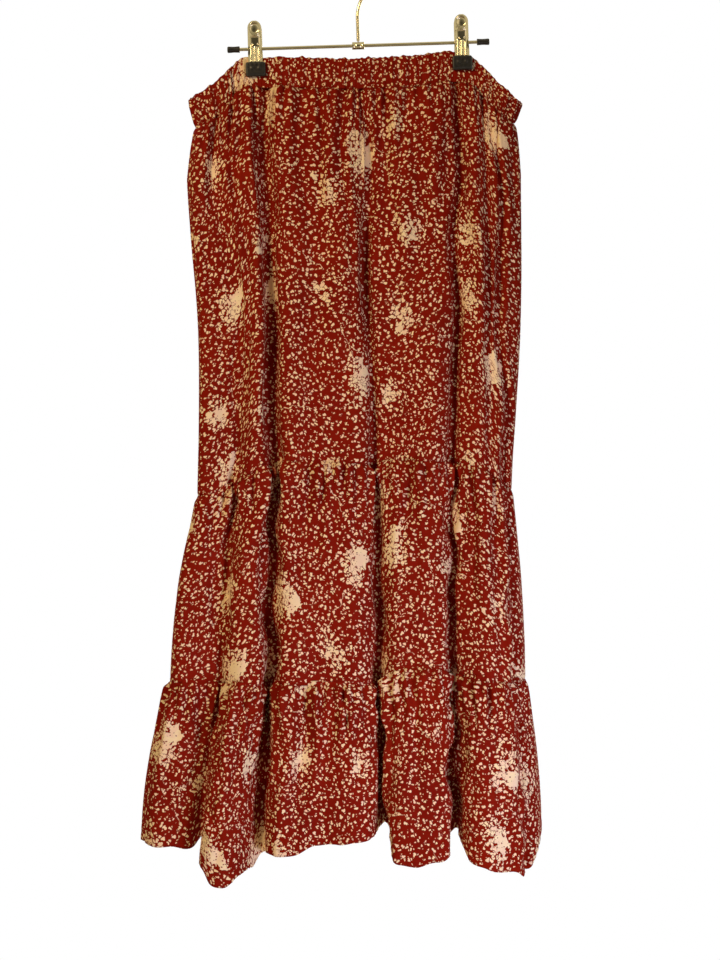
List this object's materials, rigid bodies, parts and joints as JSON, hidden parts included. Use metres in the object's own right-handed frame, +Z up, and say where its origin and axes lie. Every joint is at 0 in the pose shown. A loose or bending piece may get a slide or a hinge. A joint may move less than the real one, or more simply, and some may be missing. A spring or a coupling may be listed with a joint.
{
  "type": "tiered ruffle skirt on a clip hanger",
  "caption": "Long tiered ruffle skirt with an elastic waist, printed with scattered flecks and blotches, hanging by its waistband from a wire hanger with sliding spring clips.",
  "frame": {"origin": "inside of the hook's crown, where the rail bears", "axes": "+Z up; +X to the right of someone looking at the skirt's front; the front of the skirt faces -Y"},
  "size_m": [0.4514, 0.1274, 1.0366],
  "materials": {
    "cloth": "matte woven viscose with a cream discharge print on a brick red ground",
    "chrome": "bright plated steel",
    "rubber": "soft black moulded rubber"
  },
  "bodies": {
    "root": {"waistband": "cloth", "tier_1_front": "cloth", "tier_1_back": "cloth", "tier_2_front": "cloth", "tier_2_back": "cloth", "tier_3_front": "cloth", "tier_3_back": "cloth", "hanger_bar": "chrome", "hanger_hook": "chrome", "hook_sleeve": "chrome", "bar_tip_left": "rubber", "bar_tip_right": "rubber", "clip_left_leaf_front": "chrome", "clip_left_grip_front": "rubber", "clip_left_leaf_back": "chrome", "clip_left_grip_back": "rubber", "clip_left_spring": "chrome", "clip_right_leaf_front": "chrome", "clip_right_grip_front": "rubber", "clip_right_leaf_back": "chrome", "clip_right_grip_back": "rubber", "clip_right_spring": "chrome"}
  },
  "joints": []
}
